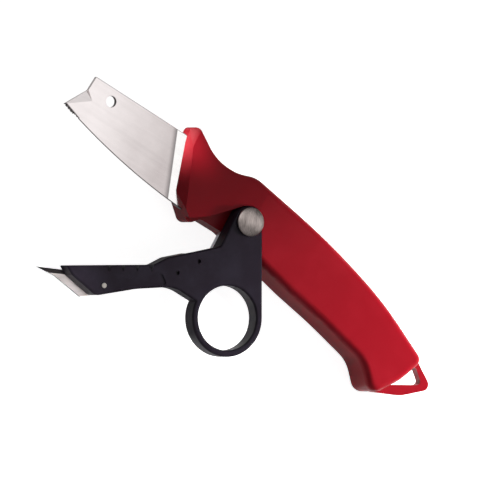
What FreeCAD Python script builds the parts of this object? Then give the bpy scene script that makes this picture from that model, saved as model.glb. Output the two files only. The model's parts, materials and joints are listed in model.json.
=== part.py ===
import FreeCAD
import Part
import math
import os

# Cable stripping knife, in millimetres: a red moulded handle that carries a fixed blade, and a
# black finger lever with a second, lower blade. The lever turns about one pivot in the handle.
# Z is up and the knife lies on the flat back of its handle. The pivot axis is X = Y = 0, the
# spine of the fixed blade runs along X, the blade points to -X and the thumb rest is on +Y.

# Heights of the layers, from the back of the handle upwards
HANDLE_THICKNESS = 17.0
SPLIT_HEIGHT = 7.5
BLADE_THICKNESS = 2.0
FLOOR_SKIN = 0.7
THRUST_WASHER_THICKNESS = 0.5
AXIAL_PLAY = 0.1
LEVER_THICKNESS = 7.2
HEAD_WASHER_THICKNESS = 0.3
SHEAR_GAP = 0.3
LOWER_BLADE_THICKNESS = 1.6

BLADE_FRONT = SPLIT_HEIGHT + BLADE_THICKNESS
RECESS_FLOOR = BLADE_FRONT + FLOOR_SKIN
LEVER_BACK = RECESS_FLOOR + THRUST_WASHER_THICKNESS + AXIAL_PLAY
LEVER_FRONT = LEVER_BACK + LEVER_THICKNESS
LOWER_BLADE_BACK = BLADE_FRONT + SHEAR_GAP
LOWER_BLADE_FRONT = LOWER_BLADE_BACK + LOWER_BLADE_THICKNESS

# Turning range: the lever's own axes stand at the open angle to the handle when it is at rest
OPEN_ANGLE = 30.0
CLOSING_ANGLE = 44.0

# Handle outline: corner points with the radius that rounds each one
HEAD_PEAK = ((-36.9, 24.4), 2.3)
HEAD_FRONT = ((-32.6, -0.6), 16.0)
HEAD_CORNER = ((-19.3, -12.0), 2.5)
HEAD_NOTCH = ((-15.4, -7.6), 2.5)
HEAD_TIP = ((-5.0, -7.4), 8.0)
GRIP_LOWER_EDGE = [((30.0, -14.5), 120.0), ((48.0, -17.2), 200.0), ((69.0, -21.6), 14.0)]
POMMEL = ((78.7, -31.5), 4.4)
BUTT_END = ((87.0, -19.8), 25.0)
BUTT_CORNER = ((92.1, -8.4), 3.4)
GRIP_UPPER_EDGE = [((66.0, 3.0), 150.0), ((35.0, 11.2), 300.0)]
GRIP_CREST = ((-4.8, 16.9), 12.0)
THUMB_HOLLOW = ((-18.1, 11.7), 20.0)

# Handle form
HEAD_TAPER_START = 2.0
HEAD_TAPER_SLOPE = 0.146
FRONT_BEVEL = [(-35.9, 16.8, 9.5), (-31.7, 3.65, 9.5), (-29.5, 6.65, 12.4)]
PEAK_BEVEL_START = -32.5
PEAK_BEVEL_SLOPE = 0.55
BACK_TAPER_START = -23.0
BACK_TAPER_SLOPE = 0.35
FRONT_ROUND = 3.0
BACK_ROUND = 3.0
CUT_BLOCK = 200.0
HANDLE_WALL = 3.0
CAVITY_START = 17.0
CAVITY_LOWER_RISE = 1.5
CAVITY_UPPER_RISE = 1.6
CAVITY_ROUND = 1.5
FACE_WALL = 3.0
SCREW_BOSS_RADIUS = 4.2

# Lanyard loop
LOOP_THICKNESS = 4.0
LOOP_OUTER = [(79.0, -24.0), (80.6, -28.4), (92.0, -23.6), (102.4, -14.9), (92.0, -8.8), (84.0, -12.0)]
LOOP_OUTER_ROUND = [1.0, 1.0, 8.0, 2.6, 1.5, 1.0]
LOOP_HOLE = [(83.0, -23.9), (97.9, -15.6), (92.4, -11.2), (84.0, -14.0)]
LOOP_HOLE_ROUND = [1.0, 1.6, 1.4, 1.0]

# Fixed blade
BLADE_TIP = (-86.1, 2.05)
BLADE_CONCAVE = (-80.3, 11.3)
BLADE_TOP_CORNER = (-79.8, 17.35)
BLADE_FACET_INNER = (-76.9, 8.5)
SPINE_END = (-36.5, 17.35)
TANG_SHOULDER = (-24.0, 12.5)
TANG_END_RADIUS = 3.4
EDGE_START = (-78.2, -0.35)
EDGE_MIDDLE = (-57.4, -4.7)
EDGE_END = (-22.6, -8.2)
BLADE_HOLE = (-69.9, 12.3)
BLADE_HOLE_RADIUS = 2.2
SERRATION_TEETH = 6
SERRATION_DEPTH = 0.55
EDGE_BEVEL_WIDTH = 2.4
EDGE_BEVEL_LAND = 0.3
FACET_DEPTH = 1.0
FACET_TIP_INSET = 0.6
GRIND_DEPTH = 0.2
GRIND_RUNOUT = 1.2
PLUNGE_LINE = [(-39.9, 17.0), (-34.8, 3.8)]
BLADE_FACE = BLADE_FRONT - GRIND_DEPTH

# Pins, screws and inserts in the handle
TANG_PIN_RADIUS = 1.5
TANG_PIN_BELOW = 3.0
TANG_PIN_ABOVE = 2.0
TANG_PIN_START = SPLIT_HEIGHT - TANG_PIN_BELOW
TANG_PIN_TOP = BLADE_FRONT + TANG_PIN_ABOVE
TANG_PINS = [(-28.5, 7.5), (-12.1, 2.9)]
SCREWS = [(-20.5, 8.6), (24.0, -0.5), (50.0, -4.6), (76.5, -13.5)]
SCREW_SHANK_RADIUS = 1.25
SCREW_HEAD_RADIUS = 2.4
SCREW_HEAD_HEIGHT = 1.6
SCREW_HEAD_SINK = 1.0
SCREW_DRIVE_RADIUS = 0.9
SCREW_DRIVE_DEPTH = 0.9
INSERT_RADIUS = 2.0
INSERT_LENGTH = 2.6
SCREW_END = BLADE_FRONT + INSERT_LENGTH - 0.2

# Pivot
PIVOT_RADIUS = 2.5
PIVOT_SLEEVE_RADIUS = 3.6
PIVOT_NUT_RADIUS = 5.0
PIVOT_NUT_HEIGHT = 4.4
NUT_SKIN = 1.5
NUT_KEY_HOLE_RADIUS = 0.7
NUT_KEY_HOLE_OFFSET = 3.7
NUT_KEY_HOLE_DEPTH = 1.5
BUTTON_RADIUS = 5.5
BUTTON_RIM_HEIGHT = 0.8
BUTTON_DOME_HEIGHT = 1.4
THRUST_WASHER_RADIUS = 5.4
HEAD_WASHER_RADIUS = 4.9
BUSH_CLEARANCE = 0.05
BUSH_RADIUS = 3.6

# Finger lever, in its own axes with the pivot at the origin
BOSS_RADIUS = 6.0
ARM_RIGHT = 5.4
ARM_INNER_CORNER = (-12.2, -9.3)
SADDLE_END = (-40.5, -16.2)
JAW_TOP_END = (-77.1, -16.4)
LEVER_CORNERS = [
    (ARM_INNER_CORNER, 2.0),
    ((-22.0, -11.2), 20.0),
    ((-34.5, -13.4), 4.0),
    (SADDLE_END, 3.0),
    (JAW_TOP_END, 0.3),
    ((-74.8, -20.1), 0.8),
    ((-64.9, -27.9), 4.0),
    ((-48.0, -25.4), 30.0),
    ((-32.0, -24.6), 14.0),
]
RING_CENTRE = (-9.4, -36.5)
RING_OUTER_RADIUS = 14.8
RING_INNER_RADIUS = 12.3
RING_JOIN_ANGLE = 154.0
RING_ROUND_SHARE = 0.32
LEVER_ROUND = min(0.8, RING_ROUND_SHARE * (RING_OUTER_RADIUS - RING_INNER_RADIUS))
RECESS_LIP = (-1.2, 2.0)
RECESS_REACH = 40.0
RECESS_SIDE = -10.0
RECESS_GAP = 0.3
NOTCH_COUNT = 4
NOTCH_START = -59.5
NOTCH_PITCH = 6.0
NOTCH_WIDTH = 2.7
NOTCH_DEPTH = 2.5
NOTCH_FLOOR = LEVER_BACK + 2.2
PANEL = [(-58.0, -26.2), (-57.0, -22.2), (-37.0, -19.6), (-35.0, -23.8)]
PANEL_DEPTH = 0.4
REBATE_GAP = 0.6

# Lower blade, in the lever's axes
LOWER_TIP = (-86.4, -16.8)
LOWER_EDGE_DIP = (-72.0, -18.4)
LOWER_EDGE_END = (-28.0, -16.6)
LOWER_ROOT = (-27.0, -22.6)
LOWER_HEEL = (-61.7, -27.6)
LOWER_CHIN = (-68.4, -28.3)
LOWER_BEAK = (-79.0, -20.3)
LOWER_BEVEL_WIDTH = 1.9
LOWER_BEVEL_LAND = 0.3
RIVET_PLACE = (-61.6, -24.05)
RIVET_RADIUS = 1.0
RIVET_HEAD_HEIGHT = 0.3
REAR_PIN_PLACE = (-30.5, -19.4)
REAR_PIN_RADIUS = 0.8
REAR_PIN_SINK = 1.2
GATE_HOLE_PLACE = (-21.4, -15.0)
GATE_HOLE_DEPTH = 1.2

# Return spring and its pins
LEAF_THICKNESS = 0.6
LEAF_WIDTH = 2.4
LEAF_BACK = SPLIT_HEIGHT - 0.3
LEAF_PITCH = 1.9
SPRING_CENTRE = -3.85
SPRING_ROOT = -3.2
SPRING_BEND = -22.0
SPRING_PIN_RADIUS = 0.6
ANCHOR_PIN_Y = -4.6
ANCHOR_PIN_SINK = 1.8
CATCH_PIN_SINK = 2.2
SLOT_GAP = 0.05


def point(place, height=0.0):
    return FreeCAD.Vector(place[0], place[1], height)


def straight(start, end):
    return Part.LineSegment(point(start), point(end)).toShape()


def arc(start, middle, end):
    return Part.Arc(point(start), point(middle), point(end)).toShape()


def turned(place, degrees):
    angle = math.radians(degrees)
    x = place[0] * math.cos(angle) - place[1] * math.sin(angle)
    y = place[0] * math.sin(angle) + place[1] * math.cos(angle)
    return (x, y)


def prism(wire, bottom, top):
    face = Part.Face(wire)
    face.translate(FreeCAD.Vector(0, 0, bottom))
    return face.extrude(FreeCAD.Vector(0, 0, top - bottom))


def polygon(places):
    closed = list(places) + [places[0]]
    return Part.makePolygon([point(place) for place in closed])


def cylinder(place, radius, bottom, top):
    return Part.makeCylinder(radius, top - bottom, point(place, bottom))


def tube(place, outer, inner, bottom, top):
    return cylinder(place, outer, bottom, top).cut(cylinder(place, inner, bottom, top))


# The start, middle and end of the arc that rounds one corner
def corner_arc(previous, place, following, radius):
    corner = point(place)
    before = (point(previous) - corner).normalize()
    after = (point(following) - corner).normalize()
    half = before.getAngle(after) / 2.0
    reach = radius / math.tan(half)
    inward = (before + after).normalize()
    centre = corner + inward * (radius / math.sin(half))
    return corner + before * reach, centre - inward * radius, corner + after * reach


# A closed outline of straight sides whose corners have the given radii
def rounded_polygon(places, radii):
    count = len(places)
    arcs = []
    for index in range(count):
        following = places[(index + 1) % count]
        arcs.append(corner_arc(places[index - 1], places[index], following, radii[index]))
    edges = []
    for index in range(count):
        start, middle, end = arcs[index]
        edges.append(Part.Arc(start, middle, end).toShape())
        edges.append(Part.LineSegment(end, arcs[(index + 1) % count][0]).toShape())
    return Part.Wire(edges)


# The same for an open run, whose two ends stay sharp
def rounded_run(first, corners, last):
    places = [first] + [place for place, radius in corners] + [last]
    edges = []
    reached = point(first)
    for index, (place, radius) in enumerate(corners):
        start, middle, end = corner_arc(places[index], place, places[index + 2], radius)
        edges.append(Part.LineSegment(reached, start).toShape())
        edges.append(Part.Arc(start, middle, end).toShape())
        reached = end
    edges.append(Part.LineSegment(reached, point(last)).toShape())
    return edges


# Everything that moves with the lever is drawn in the lever's axes and turned to the open pose
def opened(shape):
    placed = shape.copy()
    placed.rotate(FreeCAD.Vector(0, 0, 0), FreeCAD.Vector(0, 0, 1), OPEN_ANGLE)
    return placed


def handle_wire():
    corners = [HEAD_PEAK, HEAD_FRONT, HEAD_CORNER, HEAD_NOTCH, HEAD_TIP] + GRIP_LOWER_EDGE
    corners = corners + [POMMEL, BUTT_END, BUTT_CORNER] + GRIP_UPPER_EDGE + [GRIP_CREST, THUMB_HOLLOW]
    return rounded_polygon([place for place, radius in corners], [radius for place, radius in corners])


def face_height(x):
    return HANDLE_THICKNESS - max(0.0, HEAD_TAPER_START - x) * HEAD_TAPER_SLOPE


# A block that lies on the plane through three points, on the side that outward points to
def block_beyond(places, outward):
    first, second, third = [FreeCAD.Vector(x, y, z) for x, y, z in places]
    normal = (second - first).cross(third - first).normalize()
    if normal.dot(FreeCAD.Vector(*outward)) < 0:
        normal = normal * -1.0
    plate = Part.makePlane(CUT_BLOCK, CUT_BLOCK, first, normal)
    plate.translate(first - plate.CenterOfMass)
    return plate.extrude(normal * CUT_BLOCK)


# A block whose plane passes the given X at the given height and changes height along X only
def sloping_block(start, height, slope, side):
    places = [(start, 0, height), (start, 1, height), (start - 1, 0, height - slope)]
    return block_beyond(places, (0, 0, side))


# The space inside the grip, with a boss left standing round each screw
def grip_cavity(bottom, top):
    lower = [(x, y + HANDLE_WALL) for (x, y), radius in GRIP_LOWER_EDGE]
    upper = [(x, y - HANDLE_WALL) for (x, y), radius in GRIP_UPPER_EDGE]
    start_low = (CAVITY_START, lower[0][1] + CAVITY_LOWER_RISE)
    start_high = (CAVITY_START, upper[-1][1] + CAVITY_UPPER_RISE)
    corners = [start_low] + lower + upper + [start_high]
    inner = rounded_polygon(corners, [CAVITY_ROUND] * len(corners))
    space = prism(inner, bottom, top)
    for place in SCREWS[1:]:
        space = space.cut(cylinder(place, SCREW_BOSS_RADIUS, bottom, top))
    return space


def arm_tangent_angle():
    distance = math.hypot(ARM_INNER_CORNER[0], ARM_INNER_CORNER[1])
    corner_angle = math.degrees(math.atan2(ARM_INNER_CORNER[1], ARM_INNER_CORNER[0]))
    return corner_angle - math.degrees(math.acos(BOSS_RADIUS / distance))


def on_circle(centre, radius, degrees):
    angle = math.radians(degrees)
    return (centre[0] + radius * math.cos(angle), centre[1] + radius * math.sin(angle))


# The front recess: its right wall stops the open lever and its left wall the closed one
def recess_corner():
    closed = OPEN_ANGLE - CLOSING_ANGLE
    reach = (ARM_INNER_CORNER[0] - RECESS_GAP, ARM_INNER_CORNER[1] + RECESS_GAP)
    return turned(reach, closed)


def recess_front_end():
    return (HEAD_CORNER[0][0] + RECESS_LIP[0], HEAD_CORNER[0][1] + RECESS_LIP[1])


def recess():
    closed = OPEN_ANGLE - CLOSING_ANGLE
    clear_radius = BOSS_RADIUS + RECESS_GAP
    angle = arm_tangent_angle()
    right_top = turned((ARM_RIGHT + RECESS_GAP, 0.0), OPEN_ANGLE)
    right_end = turned((ARM_RIGHT + RECESS_GAP, -RECESS_REACH), OPEN_ANGLE)
    head_x, head_y = HEAD_CORNER[0]
    left_top = turned(on_circle((0.0, 0.0), clear_radius, angle), closed)
    outline = [(0.0, 0.0), right_top, right_end, (head_x, -RECESS_REACH), (head_x + RECESS_SIDE, head_y),
               recess_front_end(), recess_corner(), left_top]
    swing = prism(polygon(outline), RECESS_FLOOR, HANDLE_THICKNESS + 1.0)
    round_part = cylinder((0.0, 0.0), clear_radius, RECESS_FLOOR, HANDLE_THICKNESS + 1.0)
    return swing.fuse(round_part)


def spring_slot(bottom, top):
    half = LEAF_PITCH / 2.0 + LEAF_THICKNESS / 2.0 + SLOT_GAP
    depth = SPRING_ROOT + SLOT_GAP + 12.0
    return Part.makeBox(2 * half, depth, top - bottom,
                        FreeCAD.Vector(SPRING_CENTRE - half, -12.0, bottom))


def spring_axis(y):
    return (SPRING_CENTRE, y)


# Front half of the handle, with the lever's recess and a seat for the blade in its split face
def handle_front_shell():
    shell = prism(handle_wire(), SPLIT_HEIGHT, HANDLE_THICKNESS)
    rim = [edge for edge in shell.Edges if edge.BoundBox.ZMin > SPLIT_HEIGHT + 1.0]
    shell = shell.makeFillet(FRONT_ROUND, rim)
    shell = shell.cut(sloping_block(HEAD_TAPER_START, HANDLE_THICKNESS, HEAD_TAPER_SLOPE, 1))
    shell = shell.cut(sloping_block(PEAK_BEVEL_START, face_height(PEAK_BEVEL_START), PEAK_BEVEL_SLOPE, 1))
    shell = shell.cut(block_beyond(FRONT_BEVEL, (-1, 0, 0)))
    shell = shell.fuse(lanyard_loop())
    shell = shell.cut(recess())
    shell = shell.cut(prism(blade_wire(), SPLIT_HEIGHT - 1.0, BLADE_FRONT))
    shell = shell.cut(grip_cavity(SPLIT_HEIGHT - 1.0, HANDLE_THICKNESS - FACE_WALL))
    for place in SCREWS:
        shell = shell.cut(cylinder(place, INSERT_RADIUS, BLADE_FRONT, BLADE_FRONT + INSERT_LENGTH))
        shell = shell.cut(cylinder(place, SCREW_SHANK_RADIUS, SPLIT_HEIGHT, BLADE_FRONT + 0.1))
    for place in TANG_PINS:
        shell = shell.cut(cylinder(place, TANG_PIN_RADIUS, SPLIT_HEIGHT, TANG_PIN_TOP))
    shell = shell.cut(cylinder((0, 0), PIVOT_SLEEVE_RADIUS, SPLIT_HEIGHT - 1.0, RECESS_FLOOR + 0.1))
    shell = shell.cut(spring_slot(SPLIT_HEIGHT - 1.0, LEAF_BACK + LEAF_WIDTH))
    return shell.removeSplitter()


def lanyard_loop():
    outer = prism(rounded_polygon(LOOP_OUTER, LOOP_OUTER_ROUND), SPLIT_HEIGHT, SPLIT_HEIGHT + LOOP_THICKNESS)
    hole = prism(rounded_polygon(LOOP_HOLE, LOOP_HOLE_ROUND), SPLIT_HEIGHT, SPLIT_HEIGHT + LOOP_THICKNESS)
    return outer.cut(hole)


# Back half of the handle, flat enough to lie on, with the screw heads and pivot nut let in
def handle_back_shell():
    shell = prism(handle_wire(), 0.0, SPLIT_HEIGHT)
    rim = [edge for edge in shell.Edges if edge.BoundBox.ZMax < 1.0]
    shell = shell.makeFillet(BACK_ROUND, rim)
    shell = shell.cut(sloping_block(BACK_TAPER_START, 0.0, -BACK_TAPER_SLOPE, -1))
    shell = shell.cut(grip_cavity(FACE_WALL, SPLIT_HEIGHT + 1.0))
    head_top = SCREW_HEAD_SINK + SCREW_HEAD_HEIGHT
    for place in SCREWS:
        shell = shell.cut(cylinder(place, SCREW_HEAD_RADIUS + 0.1, -1.0, head_top))
        shell = shell.cut(cylinder(place, SCREW_SHANK_RADIUS, 0.0, SPLIT_HEIGHT + 1.0))
    for place in TANG_PINS:
        shell = shell.cut(cylinder(place, TANG_PIN_RADIUS, TANG_PIN_START, SPLIT_HEIGHT + 1.0))
    shell = shell.cut(cylinder((0, 0), PIVOT_NUT_RADIUS, -1.0, PIVOT_NUT_HEIGHT))
    shell = shell.cut(cylinder((0, 0), PIVOT_SLEEVE_RADIUS, PIVOT_NUT_HEIGHT - 0.1, SPLIT_HEIGHT + 1.0))
    shell = shell.cut(spring_slot(LEAF_BACK, SPLIT_HEIGHT + 1.0))
    pin = spring_axis(ANCHOR_PIN_Y)
    shell = shell.cut(cylinder(pin, SPRING_PIN_RADIUS, LEAF_BACK - ANCHOR_PIN_SINK, LEAF_BACK + 0.1))
    return shell.removeSplitter()


def blade_wire():
    end = TANG_PINS[1]
    lower_tangent = (end[0] + 0.5 * TANG_END_RADIUS, end[1] - 0.866 * TANG_END_RADIUS)
    upper_tangent = (end[0] + 0.5 * TANG_END_RADIUS, end[1] + 0.866 * TANG_END_RADIUS)
    return Part.Wire([
        straight(BLADE_TIP, EDGE_START),
        arc(EDGE_START, EDGE_MIDDLE, EDGE_END),
        straight(EDGE_END, lower_tangent),
        arc(lower_tangent, (end[0] + TANG_END_RADIUS, end[1]), upper_tangent),
        straight(upper_tangent, TANG_SHOULDER),
        straight(TANG_SHOULDER, SPINE_END),
        straight(SPINE_END, BLADE_TOP_CORNER),
        straight(BLADE_TOP_CORNER, BLADE_CONCAVE),
        straight(BLADE_CONCAVE, BLADE_TIP),
    ])


# A wedge ground along one line: from the face at the given width down to a land at the edge
def bevel_cutter(start, end, width, face, land, depth_sign):
    along = (point(end) - point(start)).normalize()
    inward = FreeCAD.Vector(-along.y, along.x, 0)
    begin = point(start) - along * 3.0
    length = (point(end) - point(start)).Length + 6.0
    up = FreeCAD.Vector(0, 0, depth_sign)
    profile = [
        begin + inward * width + FreeCAD.Vector(0, 0, face),
        begin + FreeCAD.Vector(0, 0, face) - up * land,
        begin - inward * width + FreeCAD.Vector(0, 0, face) - up * land,
        begin - inward * width + FreeCAD.Vector(0, 0, face) + up,
        begin + inward * width + FreeCAD.Vector(0, 0, face) + up,
    ]
    profile.append(profile[0])
    return Part.Face(Part.makePolygon(profile)).extrude(along * length)


# The fixed blade: one flat side for shearing, a bevel on the back, a hook-shaped end and teeth
def fixed_blade():
    blade = prism(blade_wire(), SPLIT_HEIGHT, BLADE_FRONT)
    blade = blade.cut(ground_side())
    grind_depth = BLADE_FACE - SPLIT_HEIGHT - EDGE_BEVEL_LAND
    handle_line = (-30.0, -7.6)
    for start, end in [(EDGE_START, EDGE_MIDDLE), (EDGE_MIDDLE, handle_line)]:
        blade = blade.cut(bevel_cutter(start, end, EDGE_BEVEL_WIDTH, SPLIT_HEIGHT, grind_depth, -1.0))
    blade = blade.cut(end_facet())
    blade = blade.cut(serration())
    blade = blade.cut(cylinder(BLADE_HOLE, BLADE_HOLE_RADIUS, 0.0, HANDLE_THICKNESS))
    for place in TANG_PINS:
        blade = blade.cut(cylinder(place, TANG_PIN_RADIUS, 0.0, HANDLE_THICKNESS))
    blade = blade.cut(cylinder(SCREWS[0], SCREW_SHANK_RADIUS, 0.0, HANDLE_THICKNESS))
    return blade


# The front is ground a little lower from the plunge line outwards, with a short run-out slope
def ground_side():
    start, end = PLUNGE_LINE
    along = (point(end) - point(start)).normalize()
    foot = point(start) + FreeCAD.Vector(along.y, -along.x, 0) * GRIND_RUNOUT
    slope = [(start[0], start[1], BLADE_FRONT), (end[0], end[1], BLADE_FRONT), (foot.x, foot.y, BLADE_FACE)]
    level = [(0, 0, BLADE_FACE), (1, 0, BLADE_FACE), (0, 1, BLADE_FACE)]
    return block_beyond(slope, (0, 0, 1)).common(block_beyond(level, (0, 0, 1)))


# The ground facet at the tip falls from the line inside the blade to the concave end
def end_facet():
    tip = (BLADE_TIP[0] + FACET_TIP_INSET, BLADE_TIP[1] - FACET_TIP_INSET, BLADE_FACE)
    inner = (BLADE_FACET_INNER[0], BLADE_FACET_INNER[1], BLADE_FACE)
    low = BLADE_FACE - FACET_DEPTH
    hollow = (BLADE_CONCAVE[0], BLADE_CONCAVE[1], low)
    beyond = (BLADE_TIP[0] - 4.0, BLADE_CONCAVE[1])
    outline = polygon([BLADE_TIP, BLADE_FACET_INNER, BLADE_CONCAVE, beyond])
    column = prism(outline, SPLIT_HEIGHT, HANDLE_THICKNESS)
    return column.common(block_beyond([tip, inner, hollow], (0, 0, 1)))


# Small teeth filed into the edge between the tip and the start of the plain edge
def serration():
    start = point(BLADE_TIP)
    step = (point(EDGE_START) - start) * (1.0 / SERRATION_TEETH)
    inward = FreeCAD.Vector(-step.y, step.x, 0).normalize() * SERRATION_DEPTH
    cutters = []
    for tooth in range(1, SERRATION_TEETH + 1):
        root = start + step * (tooth - 0.5)
        left = start + step * (tooth - 0.9) - inward
        right = start + step * (tooth - 0.1) - inward
        cutters.append(prism(polygon([root + inward, left, right]), SPLIT_HEIGHT - 1.0, BLADE_FRONT + 1.0))
    return Part.makeCompound(cutters)


def tang_pins():
    return Part.makeCompound([cylinder(p, TANG_PIN_RADIUS, TANG_PIN_START, TANG_PIN_TOP) for p in TANG_PINS])


# Pan-head screws driven from the back, each with a round drive recess
def handle_screws():
    screws = []
    head_top = SCREW_HEAD_SINK + SCREW_HEAD_HEIGHT
    for place in SCREWS:
        screw = cylinder(place, SCREW_HEAD_RADIUS, SCREW_HEAD_SINK, head_top)
        screw = screw.fuse(cylinder(place, SCREW_SHANK_RADIUS, head_top, SCREW_END))
        drive_top = SCREW_HEAD_SINK + SCREW_DRIVE_DEPTH
        screw = screw.cut(cylinder(place, SCREW_DRIVE_RADIUS, SCREW_HEAD_SINK, drive_top))
        screws.append(screw)
    return Part.makeCompound(screws)


def screw_inserts():
    top = BLADE_FRONT + INSERT_LENGTH
    return Part.makeCompound([tube(p, INSERT_RADIUS, SCREW_SHANK_RADIUS, BLADE_FRONT, top) for p in SCREWS])


def pivot_sleeve():
    return tube((0, 0), PIVOT_SLEEVE_RADIUS, PIVOT_RADIUS, PIVOT_NUT_HEIGHT, RECESS_FLOOR)


# The pivot bolt's head is the domed button on the front
def pivot_bolt():
    under_head = LEVER_FRONT + AXIAL_PLAY + HEAD_WASHER_THICKNESS
    crown = under_head + BUTTON_RIM_HEIGHT + BUTTON_DOME_HEIGHT
    dome_radius = (BUTTON_RADIUS ** 2 + BUTTON_DOME_HEIGHT ** 2) / (2.0 * BUTTON_DOME_HEIGHT)
    dome = Part.makeSphere(dome_radius, FreeCAD.Vector(0, 0, crown - dome_radius))
    head = cylinder((0, 0), BUTTON_RADIUS, under_head, crown + 1.0).common(dome)
    return head.fuse(cylinder((0, 0), PIVOT_RADIUS, NUT_SKIN, under_head + 0.1)).removeSplitter()


# The nut is flush with the back of the handle and is turned with a two-pin key
def pivot_nut():
    nut = cylinder((0, 0), PIVOT_NUT_RADIUS, 0.0, PIVOT_NUT_HEIGHT)
    nut = nut.cut(cylinder((0, 0), PIVOT_RADIUS, NUT_SKIN, PIVOT_NUT_HEIGHT + 1.0))
    for side in (-1, 1):
        place = (side * NUT_KEY_HOLE_OFFSET, 0.0)
        nut = nut.cut(cylinder(place, NUT_KEY_HOLE_RADIUS, -1.0, NUT_KEY_HOLE_DEPTH))
    return nut


def thrust_washer():
    return tube((0, 0), THRUST_WASHER_RADIUS, PIVOT_RADIUS, RECESS_FLOOR,
                RECESS_FLOOR + THRUST_WASHER_THICKNESS)


def head_washer():
    bottom = LEVER_FRONT + AXIAL_PLAY
    return tube((0, 0), HEAD_WASHER_RADIUS, PIVOT_RADIUS, bottom, bottom + HEAD_WASHER_THICKNESS)


# A flat strip bent to a U: both ends are held in the handle and the bend goes round the catch pin
def return_spring():
    outer = LEAF_PITCH / 2.0 + LEAF_THICKNESS / 2.0
    inner = LEAF_PITCH / 2.0 - LEAF_THICKNESS / 2.0
    wire = Part.Wire([
        straight((SPRING_CENTRE - outer, SPRING_ROOT), (SPRING_CENTRE - outer, SPRING_BEND)),
        arc((SPRING_CENTRE - outer, SPRING_BEND), (SPRING_CENTRE, SPRING_BEND - outer),
            (SPRING_CENTRE + outer, SPRING_BEND)),
        straight((SPRING_CENTRE + outer, SPRING_BEND), (SPRING_CENTRE + outer, SPRING_ROOT)),
        straight((SPRING_CENTRE + outer, SPRING_ROOT), (SPRING_CENTRE + inner, SPRING_ROOT)),
        straight((SPRING_CENTRE + inner, SPRING_ROOT), (SPRING_CENTRE + inner, SPRING_BEND)),
        arc((SPRING_CENTRE + inner, SPRING_BEND), (SPRING_CENTRE, SPRING_BEND - inner),
            (SPRING_CENTRE - inner, SPRING_BEND)),
        straight((SPRING_CENTRE - inner, SPRING_BEND), (SPRING_CENTRE - inner, SPRING_ROOT)),
        straight((SPRING_CENTRE - inner, SPRING_ROOT), (SPRING_CENTRE - outer, SPRING_ROOT)),
    ])
    return prism(wire, LEAF_BACK, LEAF_BACK + LEAF_WIDTH)


def spring_anchor_pin():
    return cylinder(spring_axis(ANCHOR_PIN_Y), SPRING_PIN_RADIUS, LEAF_BACK - ANCHOR_PIN_SINK,
                    LEAF_BACK + LEAF_WIDTH)


def catch_pin_place():
    return turned(spring_axis(SPRING_BEND), -OPEN_ANGLE)


def spring_catch_pin():
    return cylinder(catch_pin_place(), SPRING_PIN_RADIUS - SLOT_GAP, LEAF_BACK, LEVER_BACK + CATCH_PIN_SINK)


def lever_wire():
    boss_left = on_circle((0.0, 0.0), BOSS_RADIUS, arm_tangent_angle())
    boss_right = (ARM_RIGHT, math.sqrt(BOSS_RADIUS ** 2 - ARM_RIGHT ** 2))
    ring_right = (RING_CENTRE[0] + RING_OUTER_RADIUS, RING_CENTRE[1])
    ring_join = on_circle(RING_CENTRE, RING_OUTER_RADIUS, RING_JOIN_ANGLE)
    ring_bottom = on_circle(RING_CENTRE, RING_OUTER_RADIUS, -90.0)
    edges = [arc(boss_right, (0.0, BOSS_RADIUS), boss_left)]
    edges = edges + rounded_run(boss_left, LEVER_CORNERS, ring_join)
    edges = edges + [arc(ring_join, ring_bottom, ring_right), straight(ring_right, boss_right)]
    return Part.Wire(edges)


# Seats for the lower blade and for the corner of the handle's head that the closed lever covers
def lever_rebate():
    closed = CLOSING_ANGLE - OPEN_ANGLE
    corner = recess_corner()
    front = [edge.discretize(Number=5) for edge in handle_wire().Edges[1:5]]
    head_part = [corner, (corner[0] - 2.0, corner[1] + 6.0)]
    head_part = head_part + [(place.x, place.y) for run in front for place in run[:-1] if place.y < 2.0]
    local = [turned(place, closed) for place in head_part]
    outline = polygon(local).makeOffset2D(REBATE_GAP)
    return prism(outline, LEVER_BACK - 1.0, face_height(corner[0]) + REBATE_GAP)


def finger_lever():
    lever = prism(lever_wire(), LEVER_BACK, LEVER_FRONT)
    lever = lever.cut(cylinder(RING_CENTRE, RING_INNER_RADIUS, LEVER_BACK, LEVER_FRONT))
    rims = [edge for edge in lever.Edges if edge.BoundBox.ZLength < 0.01 and edge.Length > 3.0]
    lever = lever.makeFillet(LEVER_ROUND, rims)
    lever = lever.cut(lever_rebate())
    lever = lever.cut(prism(lower_blade_wire(), LEVER_BACK - 2.0, LOWER_BLADE_FRONT))
    lever = lever.cut(jaw_notches())
    panel = rounded_polygon(PANEL, [0.8] * len(PANEL))
    lever = lever.cut(prism(panel, LEVER_FRONT - PANEL_DEPTH, LEVER_FRONT + 1.0))
    lever = lever.cut(cylinder((0, 0), BUSH_RADIUS, LEVER_BACK - 1.0, LEVER_FRONT + 1.0))
    lever = lever.cut(cylinder(RIVET_PLACE, RIVET_RADIUS, LEVER_BACK - 2.0, LEVER_FRONT + 1.0))
    lever = lever.cut(cylinder(REAR_PIN_PLACE, REAR_PIN_RADIUS, LEVER_BACK - 2.0, LEVER_FRONT + 1.0))
    gate_floor = LEVER_FRONT - GATE_HOLE_DEPTH
    lever = lever.cut(cylinder(GATE_HOLE_PLACE, REAR_PIN_RADIUS, gate_floor, LEVER_FRONT + 1.0))
    pin_hole = cylinder(catch_pin_place(), SPRING_PIN_RADIUS - SLOT_GAP, LEVER_BACK - 1.0,
                        LEVER_BACK + CATCH_PIN_SINK)
    return lever.cut(pin_hole)


def jaw_height(u):
    share = (u - JAW_TOP_END[0]) / (SADDLE_END[0] - JAW_TOP_END[0])
    return JAW_TOP_END[1] + share * (SADDLE_END[1] - JAW_TOP_END[1])


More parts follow.
